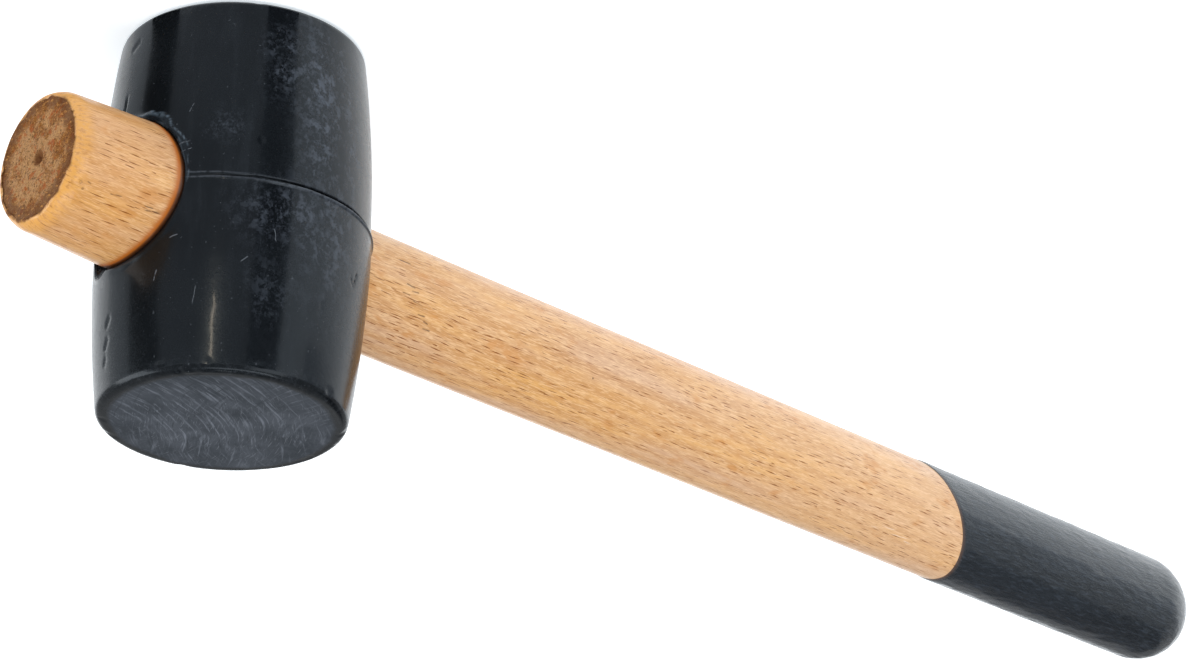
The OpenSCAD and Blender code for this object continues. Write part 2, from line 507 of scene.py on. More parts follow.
# Rings of points on the grip's flat end, on the lacquer over it, and on the sawn end
GRIP_END_RINGS = 6
LACQUER_END_RINGS = 15
SAWN_END_RINGS = 56
# How far the lacquer's inside lies in the wood, so that no gap shows
LACQUER_SINK = 0.03
# Dents in the wood: turn round the handle from -Y in degrees, x, length, width, tilt and depth
WOOD_DENTS = (
    (15, -42, 4.0, 0.22, 0, 0.16),
    (-8, -44, 3.0, 0.28, 5, 0.16),
    (-12, -45.5, 2.5, 0.25, -5, 0.16),
    (-17, -43, 2.5, 0.20, 0, 0.12),
    (-22, -47, 3.5, 0.22, 8, 0.12),
    (-31, -49, 2.4, 0.25, 0, 0.12),
    (-36, -51, 1.8, 0.30, 12, 0.12),
    (-42, -52, 2.6, 0.25, 0, 0.12),
    (-24, -105, 0.5, 0.35, 0, 0.3),
    (-35, 53.5, 0.8, 0.50, 40, 0.25),
    (-39, 52.5, 0.6, 0.35, 0, 0.2),
    (-33, 51.5, 1.2, 0.18, 10, 0.1),
    (-34, 44.0, 3.4, 0.16, -6, 0.1),
    (-35, 33.5, 4.6, 0.22, -8, 0.14),
    (-33, 35.0, 2.6, 0.16, -4, 0.1),
    (-140, -130, 1.5, 0.40, 0, 0.2),
    (-160, -190, 1.0, 0.40, 0, 0.2),
    (120, -80, 1.0, 0.40, 0, 0.2),
)
# Pale scuffs in the varnish, in the same terms, only painted
WOOD_SCUFFS = (
    (-56, -222, 7.0, 0.20, -4, 0),
    (-60, -226, 5.0, 0.18, 3, 0),
    (-52, -216, 5.0, 0.16, -3, 0),
    (-57, -212, 3.0, 0.14, 0, 0),
    (70, -150, 8.0, 0.18, 5, 0),
    (160, -95, 6.0, 0.16, -8, 0),
)


def lathe(x, half):
    """Points and faces of a closed oval solid, whose outline goes from one end of the axis to the other."""
    turn = np.arange(AROUND_HANDLE) * 2 * math.pi / AROUND_HANDLE
    inner_x, inner_half = x[1:-1], half[1:-1]
    rings = np.stack([
        inner_x[:, None] + 0 * turn,
        OVAL * inner_half[:, None] * np.cos(turn),
        inner_half[:, None] * np.sin(turn),
    ], axis=-1).reshape(-1, 3)
    index = np.arange(len(rings)).reshape(-1, AROUND_HANDLE)
    first_pole = np.full(AROUND_HANDLE, len(rings))
    faces = [ring_faces(a, b) for a, b in zip(index, index[1:])]
    faces.append(np.stack([first_pole, np.roll(index[0], -1), index[0]], axis=1))
    faces.append(np.stack([index[-1], np.roll(index[-1], -1), first_pole + 1], axis=1))
    points = np.concatenate([rings, [[x[0], 0, 0], [x[-1], 0, 0]]])
    return points, faces


def wood_waves(place):
    """The hand-sanded handle's slow unevenness, shared by the wood and the lacquer on it."""
    slow = 0.1 * noise(place, (38, 11, 11), 21) + 0.03 * noise(place, (14, 4, 4), 22)
    return slow * smooth_step(-HEAD_RADIUS - place[:, 0], -2, 8)


def build_handle():
    dome_x, dome_half = grip_dome(0)
    x = np.concatenate([
        np.full(GRIP_END_RINGS, GRIP_END),
        dome_x,
        np.arange(GRIP_END + DOME_LENGTH + 3, LACQUER_EDGE - 12, 3.5),  # under the lacquer
        np.arange(LACQUER_EDGE - 12, -HEAD_RADIUS + 2, 0.85),  # bare shaft
        np.arange(-HEAD_RADIUS + 2, 0.8 * HEAD_RADIUS, 3.0),  # inside the head
        np.arange(0.8 * HEAD_RADIUS, TOP_END - TOP_ROUND_LENGTH, 0.4),  # stub
        TOP_END - TOP_ROUND_LENGTH * (1 - np.sin(np.linspace(0, math.pi / 2, 16))),
        np.full(SAWN_END_RINGS, TOP_END),
    ])
    half = handle_half(x)
    half[:GRIP_END_RINGS] = dome_half[0] * np.linspace(0, 0.84, GRIP_END_RINGS)
    half[GRIP_END_RINGS:GRIP_END_RINGS + len(dome_half)] = dome_half
    half[-SAWN_END_RINGS:] *= np.linspace(1, 0, SAWN_END_RINGS + 1)[1:]
    points, faces = lathe(x, half)
    handle = make_piece("beech_handle", points + [0, 0, MIDDLE], faces)
    relief_handle(handle)
    return handle


def relief_handle(handle):
    """Dents the wood, roughens the sawn end round its centre mark, and paints the masks for the beech."""
    points, normals = points_of(handle)
    place = points - [0, 0, MIDDLE]
    radius = np.hypot(place[:, 1] / OVAL, place[:, 2])
    turn = np.arctan2(-place[:, 2], -place[:, 1] / OVAL)
    on_end = smooth_step(place[:, 0], TOP_END - 0.5, TOP_END - 0.1)
    stub = smooth_step(place[:, 0], HEAD_RADIUS - 6, HEAD_RADIUS)
    relief = wood_waves(place) + 0.05 * stub * noise(place, (9, 4, 4), 23) * (1 - on_end)
    on_side = radius > 12
    relief -= mark_depth(WOOD_DENTS, turn, place[:, 0], NECK_HALF) * on_side
    end_rim = bell(radius - TOP_HALF + TOP_ROUND_DEPTH, 2.6)
    rough = 0.24 * noise(place, (9, 2.2, 2.2), 24) + 0.16 * noise(place, (9, 0.9, 0.9), 25)
    crumbs = 0.3 * end_rim * (noise(place, (9, 1.9, 1.9), 26) - 0.6)
    dimple = 0.3 * bell(radius - CENTRE_MARK_RADIUS, 1.3)
    relief += on_end * (rough - 0.3 + crumbs - dimple) * smooth_step(radius, CENTRE_MARK_RADIUS, 2.2)
    placed = points + normals * relief[:, None]
    in_mark = (place[:, 0] > TOP_END - 0.2) & (radius < CENTRE_MARK_RADIUS)
    placed[in_mark, 0] = TOP_END - 0.55 - CENTRE_MARK_DEPTH * (1 - radius[in_mark] / CENTRE_MARK_RADIUS)
    set_points(handle, placed)
    ragged = 0.4 * noise(place, (9, 1.7, 1.7), 27) + 0.3 * noise(place, (9, 0.8, 0.8), 28)
    inward = np.clip(TOP_HALF - TOP_ROUND_DEPTH - radius, 0, 2)
    paint(handle, "sawn_end", smooth_step(place[:, 0] - TOP_END + inward + ragged, -0.5, 0.05))
    rounding = smooth_step(place[:, 0], TOP_END - TOP_ROUND_LENGTH - 1.5, TOP_END - 2)
    paint(handle, "end_edge", rounding * (1 - on_end))
    barrel = side_radius(np.clip(place[:, 2], -SIDE_HEIGHT, SIDE_HEIGHT))
    out_of_head = np.hypot(place[:, 0], place[:, 1]) - barrel
    # masks for the wood beside the rubber on both sides of the head: pooled varnish with painted shade,
    # darkest where wood meets rubber
    paint(handle, "rubbed", bell(np.maximum(out_of_head, 0), 1.9) * (place[:, 0] > 0))
    paint(handle, "rubbed_back", bell(np.maximum(out_of_head, 0), 1.4) * (place[:, 0] < 0))


def build_lacquer():
    side_x = np.concatenate([
        np.arange(GRIP_END + DOME_LENGTH + 0.8, LACQUER_EDGE - 4, 0.8),
        np.arange(LACQUER_EDGE - 4, LACQUER_EDGE + 0.01, 0.2),
    ])
    side_half = handle_half(side_x) + LACQUER_SKIN * smooth_step(LACQUER_EDGE - side_x, -0.4, 1.6)
    dome_x, dome_half = grip_dome(LACQUER_SKIN)
    flat_half = dome_half[0] * np.linspace(0, 1, LACQUER_END_RINGS + 1)[:-1]
    inside_x, inside_half = grip_dome(-LACQUER_SINK)
    under_x = np.arange(GRIP_END + DOME_LENGTH + 2, LACQUER_EDGE, 2.5)
    under_half = handle_half(under_x) - LACQUER_SINK
    flat_x = np.full(LACQUER_END_RINGS, dome_x[0])
    x = [flat_x, dome_x, side_x, under_x[::-1], inside_x[::-1], inside_x[:1]]
    half = [flat_half, dome_half, side_half, under_half[::-1], inside_half[::-1], [0]]
    points, faces = lathe(np.concatenate(x), np.concatenate(half))
    from_edge = LACQUER_EDGE - points[:, 0]
    lean = 1 - smooth_step(from_edge, 0, 60)
    turn = np.arctan2(points[:, 2], points[:, 1])
    wobble = 0.35 * noise(np.stack([3 * np.cos(turn), 3 * np.sin(turn), 0 * turn], axis=1), 1.3, 31)
    points[:, 0] += (wobble - LACQUER_LEAN * points[:, 2]) * lean
    lacquer = make_piece("grip_lacquer_coat", points + [0, 0, MIDDLE], faces)
    relief_lacquer(lacquer, from_edge)
    return lacquer


def relief_lacquer(lacquer, from_edge):
    """Lets the wood's grain show through the dried lacquer as fine long wrinkles."""
    points, normals = points_of(lacquer)
    place = points - [0, 0, MIDDLE]
    grain = 0.07 * noise(place, (4, 1.2, 1.2), 32) + 0.06 * noise(place, (2.0, 0.9, 0.9), 33)
    relief = wood_waves(place) + grain * smooth_step(from_edge, 0.5, 4)
    set_points(lacquer, points + normals * relief[:, None])
    paint(lacquer, "thin", bell(np.maximum(from_edge, 0), 0.7))


# ---- materials
class Nodes:
    """Short calls that add nodes to one material. An input is a number, a colour or a node's output."""

    def __init__(self, name, **shader_values):
        self.material = bpy.data.materials.new(name)
        self.material.use_nodes = True
        self.tree = self.material.node_tree
        self.shader = self.tree.nodes["Principled BSDF"]
        for socket, value in shader_values.items():
            self.shader.inputs[socket.replace("_", " ")].default_value = value
        place = self.tree.nodes.new("ShaderNodeTexCoord").outputs["Object"]
        self.place = self.scaled(place, 1 / MM)

    def put(self, socket, value):
        if isinstance(value, bpy.types.NodeSocket):
            self.tree.links.new(value, socket)
        elif isinstance(value, tuple) and len(socket.default_value) > len(value):
            socket.default_value = (*value, 1)
        else:
            socket.default_value = value

    def add(self, kind, inputs, output=0, **settings):
        node = self.tree.nodes.new("ShaderNode" + kind)
        for name, value in settings.items():
            setattr(node, name, value)
        for name, value in inputs.items():
            self.put(node.inputs[name], value)
        return node.outputs[output]

    def vector(self, operation, a, b):
        return self.add("VectorMath", {0: a, 1: b}, operation=operation)

    def dot(self, a, b):
        return self.add("VectorMath", {0: a, 1: b}, "Value", operation="DOT_PRODUCT")

    def scaled(self, vector, factor):
        return self.add("VectorMath", {0: vector, "Scale": factor}, operation="SCALE")

    def math(self, operation, a, b=0.5, clamp=False):
        return self.add("Math", {0: a, 1: b}, operation=operation, use_clamp=clamp)

    def step(self, value, low, high, to_low=0.0, to_high=1.0):
        limits = {"Value": value, "From Min": low, "From Max": high, "To Min": to_low, "To Max": to_high}
        return self.add("MapRange", limits, interpolation_type="SMOOTHSTEP")

    def mix(self, share, a, b):
        node = self.tree.nodes.new("ShaderNodeMix")
        node.data_type = "RGBA"
        self.put(node.inputs[0], share)
        self.put(node.inputs[6], a)
        self.put(node.inputs[7], b)
        return node.outputs[2]

    def times(self, *values):
        product = values[0]
        for value in values[1:]:
            product = self.math("MULTIPLY", product, value)
        return product

    def plus(self, *values):
        total = values[0]
        for value in values[1:]:
            total = self.math("ADD", total, value)
        return total

    def distance(self, a, b):
        return self.math("SQRT", self.plus(self.times(a, a), self.times(b, b)))

    def stretched(self, sizes, offset=(0, 0, 0)):
        """The place in millimetres, shifted and divided by a size along each axis."""
        shifted = self.vector("ADD", self.place, offset)
        return self.vector("MULTIPLY", shifted, tuple(1 / size for size in sizes))

    def cloudy(self, place, detail=3.0, roughness=0.55):
        inputs = {"Vector": place, "Scale": 1.0, "Detail": detail, "Roughness": roughness}
        return self.add("TexNoise", inputs)

    def mask(self, name):
        return self.add("Attribute", {}, "Fac", attribute_name=name)

    def split(self, vector):
        node = self.tree.nodes.new("ShaderNodeSeparateXYZ")
        self.put(node.inputs[0], vector)
        return node.outputs

    def join(self, x, y, z):
        return self.add("CombineXYZ", {0: x, 1: y, 2: z})

    def finish(self, colour, roughness, height):
        """Links the colour, the roughness and a height in millimetres to the shader."""
        self.put(self.shader.inputs["Base Color"], colour)
        self.put(self.shader.inputs["Roughness"], roughness)
        bump = self.add("Bump", {"Height": height, "Distance": MM, "Strength": 1.0})
        self.put(self.shader.inputs["Normal"], bump)
        return self.material


def line_marks(n, around, along, radius, marks, waviness):
    """Thin lines on a side unrolled to its distances around and along the axis, as a share from 0 to 1."""
    waver = n.times(n.plus(n.cloudy(n.stretched((2.5, 2.5, 2.5), (2, 9, 4)), 2), -0.5), waviness)
    place = n.join(n.plus(around, waver), n.plus(along, waver), 0.0)
    share = 0.0
    for degrees, middle, length, width, tilt, _ in marks:
        c, s = math.cos(math.radians(tilt)), math.sin(math.radians(tilt))
        arm = n.vector("SUBTRACT", place, (math.radians(degrees) * radius, middle, 0))
        off_end = n.math("ABSOLUTE", n.dot(arm, (s, c, 0)))
        off_line = n.math("ABSOLUTE", n.dot(arm, (c, -s, 0)))
        line = n.times(n.step(off_line, width, 0.3 * width), n.step(off_end, 0.55 * length, 0.35 * length))
        share = n.math("MAXIMUM", share, line)
    return share


def scuff_strokes(n, centre, along, across, seed):
    """Thin bowed strokes on the striking faces, along circles round a centre in the plane of the face."""
    arm = n.vector("SUBTRACT", n.place, (*centre, 0))
    x, y, _ = n.split(arm)
    turn = n.math("ARCTAN2", y, x)
    waver = n.times(n.cloudy(n.stretched((22, 22, 60), (seed, 0, 0)), 2), 5.0)
    around = n.times(turn, math.hypot(*centre) / along)
    reach = n.plus(n.distance(x, y), waver)
    return n.cloudy(n.join(around, n.times(reach, 1 / across), seed), 4, 0.65)


def rubber():
    n = Nodes("mallet_rubber", Specular_IOR_Level=0.22, Specular_Tint=(0.70, 0.85, 1.0, 1),
              Coat_Weight=0.13, Coat_Roughness=0.1)
    broad = n.cloudy(n.stretched((26, 26, 34)), 3)
    fine = n.cloudy(n.stretched((1.1, 1.1, 1.1)), 4, 0.6)
    streaks = n.cloudy(n.stretched((5, 5, 30), (7, 3, 0)), 4, 0.6)
    colour = n.mix(n.step(broad, 0.35, 0.7), (0.0024, 0.0030, 0.0038), (0.0048, 0.0060, 0.0073))
    colour = n.mix(n.times(n.step(streaks, 0.5, 0.75), 0.5), colour, (0.012, 0.0145, 0.0175))

    # cloudy bloom in small clumps and specks
    clumps = n.step(n.cloudy(n.stretched((2.3, 2.3, 2.7), (5, 0, 0)), 5, 0.72), 0.49, 0.60)
    specks = n.step(n.cloudy(n.stretched((0.75, 0.75, 0.85)), 3, 0.6), 0.47, 0.62)
    patches = n.step(n.cloudy(n.stretched((9, 9, 14), (1, 6, 2)), 3, 0.6), 0.24, 0.54)
    bloom = n.times(n.mask("cloud"), patches, n.plus(n.times(clumps, 0.75), n.times(specks, 0.3)))
    bloom = n.math("MULTIPLY", bloom, 1.1, True)
    colour = n.mix(bloom, colour, (0.056, 0.065, 0.083))
    dust = n.step(n.cloudy(n.stretched((0.8, 0.8, 0.8), (0, 9, 0)), 2, 0.5), 0.70, 0.76)
    colour = n.mix(n.times(dust, 0.35), colour, (0.10, 0.11, 0.125))

    # striking faces: matt slate with bowed scuffs
    face = n.mask("striking_face")
    slate = n.mix(n.step(n.cloudy(n.stretched((12, 12, 12), (3, 8, 0)), 4, 0.6), 0.3, 0.72),
                  (0.022, 0.027, 0.034), (0.060, 0.068, 0.083))
    strokes = scuff_strokes(n, (26, 38), 15, 1.0, 2.0)
    crossing = scuff_strokes(n, (-38, -20), 9, 0.8, 11.0)
    hairs = scuff_strokes(n, (34, 22), 5, 0.32, 17.0)
    where = n.step(n.cloudy(n.stretched((17, 17, 60), (2, 2, 0)), 2), 0.4, 0.6)
    scuffs = n.plus(n.times(n.step(strokes, 0.5, 0.7), n.step(where, 0, 1, 1, 0.35)),
                    n.times(n.step(crossing, 0.52, 0.72), where, 0.9))
    slate = n.mix(n.math("MULTIPLY", scuffs, 0.9, True), slate, (0.140, 0.155, 0.185))
    slate = n.mix(n.times(n.step(hairs, 0.57, 0.70), 0.6), slate, (0.19, 0.205, 0.235))
    slate = n.mix(n.times(n.step(crossing, 0.44, 0.3), 0.7), slate, (0.016, 0.020, 0.025))
    x, y, z = n.split(n.vector("SUBTRACT", n.place, (0, 0, MIDDLE)))
    slate = n.mix(n.step(n.distance(x, y), 14, 30, 0, 0.4), slate, (0.022, 0.026, 0.033))
    colour = n.mix(face, colour, slate)

    rim = n.times(n.mask("rim_wear"), n.step(fine, 0.45, 0.7))
    colour = n.mix(n.times(rim, 0.3), colour, (0.05, 0.056, 0.066))
    # paler parting-line lips, with a painted highlight along the lip of the step
    colour = n.mix(n.times(n.mask("line"), n.step(fine, 0.25, 0.55), 0.65), colour, (0.085, 0.096, 0.115))
    film = n.mask("film")
    colour = n.mix(n.times(film, 0.5), colour, (0.011, 0.016, 0.021))
    # painted highlight: pale bluish strokes along the film's folds and torn edge
    colour = n.mix(n.times(n.mask("folds"), n.step(fine, 0.3, 0.55)), colour, (0.085, 0.115, 0.145))
    around = n.times(n.math("ARCTAN2", y, x), HEAD_RADIUS)
    off_face = n.math("SUBTRACT", 1.0, face)
    scratch = line_marks(n, around, z, HEAD_RADIUS, SCRATCHES, 0.9)
    scratch = n.times(scratch, n.step(fine, 0.3, 0.5), off_face)
    cut = n.times(line_marks(n, around, z, HEAD_RADIUS, CUTS, 0.9), off_face)
    colour = n.mix(n.times(scratch, 0.7), colour, (0.120, 0.132, 0.150))
    # painted shade: the cuts are darkened to near black inside
    colour = n.mix(n.times(cut, 0.9), colour, (0.001, 0.0012, 0.0015))
    # painted shade: near black along the groove under the parting-line step
    colour = n.mix(n.times(n.mask("groove"), 0.95), colour, (0.002, 0.0025, 0.003))
    fibrous = n.step(n.cloudy(n.stretched((0.5, 0.5, 1.6), (3, 3, 3)), 3, 0.7), 0.46, 0.58)
    colour = n.mix(n.times(n.mask("torn"), fibrous), colour, (0.24, 0.25, 0.25))
    colour = n.mix(n.times(n.mask("eye_shade"), 0.5), colour, (0.003, 0.0035, 0.004))

    roughness = n.plus(
        n.step(broad, 0.3, 0.7, 0.19, 0.26),
        n.times(n.step(fine, 0.35, 0.7), 0.05),
        n.times(bloom, 0.25),
        n.times(face, 0.36),
    )
    height = n.plus(
        n.times(fine, 0.020),
        n.times(n.cloudy(n.stretched((0.35, 0.35, 0.35)), 2), 0.006),
        n.times(bloom, 0.012),
        n.times(scratch, -0.03),
        n.times(cut, -0.2),
        n.times(scuffs, face, 0.05),
        n.times(film, fine, 0.1),
    )
    return n.finish(colour, roughness, height)


def handle_turn(n, y, z):
    """Turn round the handle from -Y, in radians."""
    return n.math("ARCTAN2", n.times(z, -1), n.times(y, -1 / OVAL))


def wood_dashes(n, length, apart, seed):
    """Beech's short dark dashes, as a share from 0 to 1: long narrow cells round the handle."""
    x, y, z = n.split(n.vector("SUBTRACT", n.place, (0, 0, MIDDLE)))
    around = n.times(handle_turn(n, y, z), NECK_HALF / apart)
    wander = n.times(n.cloudy(n.stretched((25, 9, 9), (seed, 0, 0)), 2), 1.6)
    place = n.join(n.times(x, 1 / length), n.plus(around, wander), seed)
    cell = n.add("TexVoronoi", {"Vector": place, "Scale": 1.0, "Randomness": 1.0}, "Position")
    offset = n.vector("SUBTRACT", place, cell)
    along, across, _ = n.split(offset)
    rank = n.add("TexWhiteNoise", {"Vector": cell}, "Value", noise_dimensions="3D")
    reach = n.step(rank, 0.0, 1.0, 0.12, 0.52)
    narrow = n.times(n.math("ABSOLUTE", across), 4.6)
    inside = n.math("SUBTRACT", reach, n.plus(n.math("ABSOLUTE", along), narrow))
    return n.times(n.step(inside, 0.0, 0.07), n.step(rank, 0.15, 0.8, 0.35, 1.0))


def beech():
    n = Nodes("varnished_beech", Specular_IOR_Level=0.18, Coat_Roughness=0.18, Coat_IOR=1.5)
    # growth bands round a pith that lies beside the handle, slightly aslant
    swirl = n.add("TexNoise", {"Vector": n.stretched((60, 16, 16)), "Scale": 1.0, "Detail": 2.0}, "Color")
    waver = n.scaled(n.vector("SUBTRACT", swirl, (0.5, 0.5, 0.5)), 7.0)
    _, y, z = n.split(n.vector("ADD", n.stretched((1, 1, 1), (0, 46, 10 - MIDDLE)), waver))
    x, _, _ = n.split(n.place)
    slant = n.times(x, 0.035)
    ring_place = n.plus(n.distance(y, z), slant)
    rings = n.step(n.math("SINE", n.times(ring_place, 2 * math.pi / 3.4)), -1.0, 1.0)
    tone = n.cloudy(n.stretched((70, 13, 13), (9, 0, 0)), 3, 0.55)
    fibres = n.cloudy(n.stretched((9, 0.5, 0.5)), 4, 0.65)
    threads = n.cloudy(n.stretched((3.0, 0.27, 0.27), (0, 5, 0)), 3, 0.6)

    colour = n.mix(n.step(tone, 0.34, 0.68), (0.680, 0.365, 0.118), (0.605, 0.365, 0.212))
    colour = n.mix(n.times(rings, 0.55), colour, (0.500, 0.240, 0.078))
    brown = n.times(n.step(fibres, 0.44, 0.66), n.step(x, 10, 40, 0.24, 0.5))
    colour = n.mix(brown, colour, (0.390, 0.170, 0.054))
    colour = n.mix(n.times(n.step(threads, 0.48, 0.64), 0.5), colour, (0.85, 0.585, 0.34))
    colour = n.mix(n.step(x, 20, 45, 0, 0.32), colour, (0.640, 0.290, 0.060))
    colour = n.mix(n.step(x, -70, -230, 0, 0.24), colour, (0.850, 0.620, 0.450))
    blotch = n.step(n.cloudy(n.stretched((9, 4.5, 4.5), (2, 4, 1)), 3, 0.6), 0.57, 0.72)
    colour = n.mix(n.times(blotch, 0.5), colour, (0.540, 0.220, 0.045))
    dashes = n.math("MAXIMUM", wood_dashes(n, 4.8, 1.4, 1.0), n.times(wood_dashes(n, 2.8, 0.8, 6.0), 0.35))
    thinning = n.cloudy(n.stretched((30, 10, 10), (1, 1, 1)), 2)
    fleck = n.times(dashes, n.step(thinning, 0.25, 0.55, 0.45, 1.0))
    colour = n.mix(n.times(fleck, 0.9), colour, (0.230, 0.062, 0.002))

    # darkened dents, pale scuffs, pooled varnish and painted shade on the wood beside the rubber, and orange
    # varnish on the rounded end
    _, off_y, off_z = n.split(n.vector("SUBTRACT", n.place, (0, 0, MIDDLE)))
    around = n.times(handle_turn(n, off_y, off_z), NECK_HALF)
    sawn = n.mask("sawn_end")
    off_end = n.math("SUBTRACT", 1.0, sawn)
    dent = n.times(line_marks(n, around, x, NECK_HALF, WOOD_DENTS, 0.3), off_end)
    # darker in the dents
    colour = n.mix(n.times(dent, n.step(threads, 0.3, 0.55), 0.7), colour, (0.090, 0.042, 0.018))
    scuffed = line_marks(n, around, x, NECK_HALF, WOOD_SCUFFS, 0.6)
    scuffed = n.times(scuffed, n.step(threads, 0.35, 0.55))
    colour = n.mix(n.times(scuffed, 0.6), colour, (0.830, 0.690, 0.560))
    # pooled varnish and painted shade beside the rubber: an orange band, then near black at the contact as
    # painted shadow
    rubbed = n.mask("rubbed")
    colour = n.mix(n.step(rubbed, 0.05, 0.75), colour, (0.430, 0.115, 0.008))
    colour = n.mix(n.step(rubbed, 0.7, 1.0), colour, (0.050, 0.014, 0.002))
    colour = n.mix(n.times(n.mask("rubbed_back"), 0.5), colour, (0.420, 0.220, 0.090))
    end_edge = n.mask("end_edge")
    ribs = n.cloudy(n.stretched((5, 0.7, 0.7), (0, 3, 8)), 3, 0.6)
    colour = n.mix(n.times(end_edge, n.step(ribs, 0.3, 0.6), 0.9), colour, (0.690, 0.340, 0.075))
    colour = n.mix(n.times(end_edge, n.step(ribs, 0.48, 0.36), 0.4), colour, (0.480, 0.190, 0.026))

    # sawn end: brown open grain with pale fibres and orange spots; the pale crumbs by the rim are painted
    # highlights
    pores = n.cloudy(n.stretched((9, 0.42, 0.42), (0, 2, 5)), 4, 0.7)
    patch = n.cloudy(n.stretched((9, 5.5, 5.5), (0, 7, 3)), 4, 0.6)
    end = n.mix(n.step(patch, 0.42, 0.56), (0.225, 0.078, 0.009), (0.360, 0.185, 0.070))
    end = n.mix(n.times(n.step(pores, 0.55, 0.66), 0.65), end, (0.600, 0.330, 0.110))
    end = n.mix(n.times(n.step(pores, 0.47, 0.37), 0.9), end, (0.045, 0.014, 0.003))
    spots = n.step(n.cloudy(n.stretched((9, 1.6, 1.6), (0, 1, 9)), 3, 0.6), 0.55, 0.66)
    end = n.mix(n.times(spots, 0.8), end, (0.300, 0.066, 0.006))
    off_axis = n.math("SQRT", n.plus(n.times(off_y, off_y, 1 / OVAL ** 2), n.times(off_z, off_z)))
    rough_rim = n.plus(off_axis, n.times(patch, 9.0), -4.5)
    end = n.mix(n.step(rough_rim, 11.0, 13.4, 0, 0.75), end, (0.115, 0.036, 0.006))
    # painted highlight: pale crumbs near the rough rim stand in for glints off torn fibres
    crumbs = n.step(n.cloudy(n.stretched((9, 1.3, 0.6), (0, 4, 2)), 3, 0.7), 0.56, 0.70)
    end = n.mix(n.times(n.step(rough_rim, 9.0, 13.0), crumbs, 0.7), end, (0.560, 0.250, 0.055))
    # painted shade: darker in and round the centre mark's hole
    end = n.mix(n.step(off_axis, 2.5, 1.4, 0, 0.8), end, (0.170, 0.056, 0.012))
    colour = n.mix(sawn, colour, end)

    roughness = n.plus(
        n.step(tone, 0.3, 0.7, 0.36, 0.46),
        n.times(n.step(fibres, 0.4, 0.7), 0.08),
        n.times(sawn, 0.3),
        n.times(dent, 0.15),
    )
    height = n.plus(
        n.times(fibres, 0.05),
        n.times(threads, 0.03),
        n.times(fleck, -0.03),
        n.times(dent, -0.1),
        n.times(ribs, end_edge, 0.25),
        n.times(pores, sawn, 0.35),
        n.times(patch, sawn, 0.3),
    )
    n.put(n.shader.inputs["Coat Weight"], n.step(sawn, 0.0, 0.6, 0.55, 0.04))
    return n.finish(colour, roughness, height)


def grip_lacquer_paint():
    n = Nodes("black_lacquer", Specular_IOR_Level=0.5, Specular_Tint=(0.72, 0.87, 1.0, 1),
              Coat_Weight=0.75, Coat_Roughness=0.18)
    wrinkles = n.cloudy(n.stretched((3.2, 0.7, 0.7)), 4, 0.65)
    pits = n.math("MAXIMUM", wood_dashes(n, 3.4, 1.0, 3.0), wood_dashes(n, 2.0, 0.8, 8.0))
    broad = n.cloudy(n.stretched((40, 9, 9), (1, 5, 0)), 3)
    colour = n.mix(n.step(broad, 0.35, 0.68), (0.0035, 0.0048, 0.0072), (0.0075, 0.0100, 0.0140))
    colour = n.mix(n.times(n.step(wrinkles, 0.50, 0.64), 0.6), colour, (0.030, 0.038, 0.052))
    colour = n.mix(n.times(pits, 0.7), colour, (0.0025, 0.003, 0.004))
    colour = n.mix(n.mask("thin"), colour, (0.090, 0.040, 0.018))
    roughness = n.plus(n.step(wrinkles, 0.3, 0.7, 0.30, 0.44), n.times(n.step(broad, 0.3, 0.7), 0.06))
    height = n.plus(n.times(wrinkles, 0.45), n.times(pits, -0.25))
    return n.finish(colour, roughness, height)


# ---- pieces
for build, material, node, slot in (
    (build_head, rubber, "head", "head_rubber"),
    (build_handle, beech, "handle", "handle_beech"),
    (build_lacquer, grip_lacquer_paint, "grip_lacquer", "grip_lacquer"),
):
    piece = build()
    piece.data.materials.append(material())
    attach(piece, "root")
    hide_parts(node)


# ---- floor, lights and camera
# Camera: azimuth, elevation and roll in degrees. The roll is about a half turn, because the lower striking
# face is at the top of the photograph.
CAMERA_AZIMUTH = 42.56
CAMERA_ELEVATION = 25.37
CAMERA_ROLL = 181.3
CAMERA_DISTANCE = 1.0766
CAMERA_LENS = 128.44
CAMERA_TARGET = Vector((-116.06, 0, 33.33)) * MM
# The floor's half side in metres, and its drop in millimetres, which clears the uneven striking face
FLOOR_REACH = 6.0
FLOOR_DROP = 0.2
# Lamps: name, azimuth, elevation, distance in metres, size in metres, and power
LAMPS = (
    ("left_window", 125, 18, 1.6, (0.9, 1.4), 14),
    ("front_window", 0, 14, 1.6, (0.9, 1.4), 8),
    ("top_softbox", 20, 75, 1.8, (1.4, 1.4), 20),
)
# Cards that only reflections see: name, turns on the head's side in degrees, reaches from it, glow, and
# height above the lower striking face; lengths are in millimetres
CARD_POINTS = 16
CARDS = (
    ("grey_card_left", (46, 60), (0, 900), (0.80, 0.85, 0.90), 1),
    ("dark_card_left", (31, 46), (0, 900), (0.0, 0.0, 0.0), 1),
    ("grey_card_middle", (-9, 31), (0, 900), (0.60, 0.62, 0.66), 1),
    ("dark_card_right", (-23, -9), (0, 900), (0.05, 0.06, 0.08), 1),
    ("warm_strip", (5.9, 6.7), (290, 600), (42.0, 36.0, 28.0), 2),
    ("grey_card_by_grip", (-55, -36), (340, 3000), (0.62, 0.67, 0.75), 1),
    ("dark_card_over_head", (-90, 90), (0, 230), (0.05, 0.05, 0.06), 620),
    ("dark_card_over_grip", (-80, -51), (530, 1120), (0.05, 0.05, 0.06), 520),
)


def from_target(azimuth, elevation, distance):
    """A place seen from the camera's target, by azimuth from -Y towards +X and elevation, in degrees."""
    a, e = math.radians(azimuth), math.radians(elevation)
    back = Vector((math.sin(a) * math.cos(e), -math.cos(a) * math.cos(e), math.sin(e)))
    return CAMERA_TARGET + back * distance


